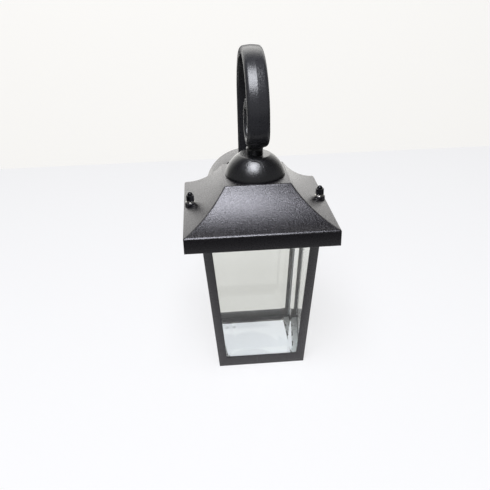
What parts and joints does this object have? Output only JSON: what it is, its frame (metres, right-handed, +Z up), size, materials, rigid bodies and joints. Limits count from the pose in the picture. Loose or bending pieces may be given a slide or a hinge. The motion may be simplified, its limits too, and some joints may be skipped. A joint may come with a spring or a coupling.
{
  "type": "outdoor wall lantern",
  "caption": "Black outdoor wall lantern: crook arm on a deep round plate, pagoda roof, dome cap, tapered bevelled-glass cage held by acorn nuts.",
  "frame": {"origin": "middle of the back plate's rear face, on the wall plane", "axes": "+Z up, +Y into the wall, +X to the right as seen from the room; the lantern stands out towards -Y"},
  "size_m": [0.165, 0.2305, 0.36],
  "materials": {
    "black_powder_coat": "satin, fine texture",
    "black_gloss_paint": "gloss",
    "black_nut_finish": "gloss",
    "clear_glass": "polished",
    "clear_sealant": "clear, smooth",
    "zinc_plated_steel": "plated",
    "glazed_porcelain": "glazed",
    "brass": "plain"
  },
  "bodies": {
    "fixture": {"roof": "black_powder_coat", "cage_frame": "black_powder_coat", "back_plate": "black_powder_coat", "dome_cap": "black_gloss_paint", "hook_arm": "black_gloss_paint", "collar": "black_gloss_paint", "left_washer": "black_nut_finish", "right_washer": "black_nut_finish", "front_pane": "clear_glass", "back_pane": "clear_glass", "left_pane": "clear_glass", "right_pane": "clear_glass", "bottom_pane": "clear_glass", "corner_sealant": "clear_sealant", "sealant_drops": "clear_sealant", "arm_screws": "zinc_plated_steel", "nipple": "zinc_plated_steel", "lock_washer": "zinc_plated_steel", "lock_nut": "zinc_plated_steel", "socket_strap": "zinc_plated_steel", "strap_screws": "zinc_plated_steel", "left_stud": "zinc_plated_steel", "right_stud": "zinc_plated_steel", "lamp_holder": "glazed_porcelain", "screw_shell": "brass", "centre_contact": "brass"},
    "left_nut": {"left_cap_nut": "black_nut_finish"},
    "right_nut": {"right_cap_nut": "black_nut_finish"}
  },
  "joints": [
    {"name": "left_nut_turn", "type": "hinge", "parent": "fixture", "child": "left_nut", "pos_m": [-0.0744, -0.148, 0.0426], "axis": [0, 0, 1], "continuous": true},
    {"name": "right_nut_turn", "type": "hinge", "parent": "fixture", "child": "right_nut", "pos_m": [0.0744, -0.148, 0.0426], "axis": [0, 0, 1], "continuous": true}
  ]
}
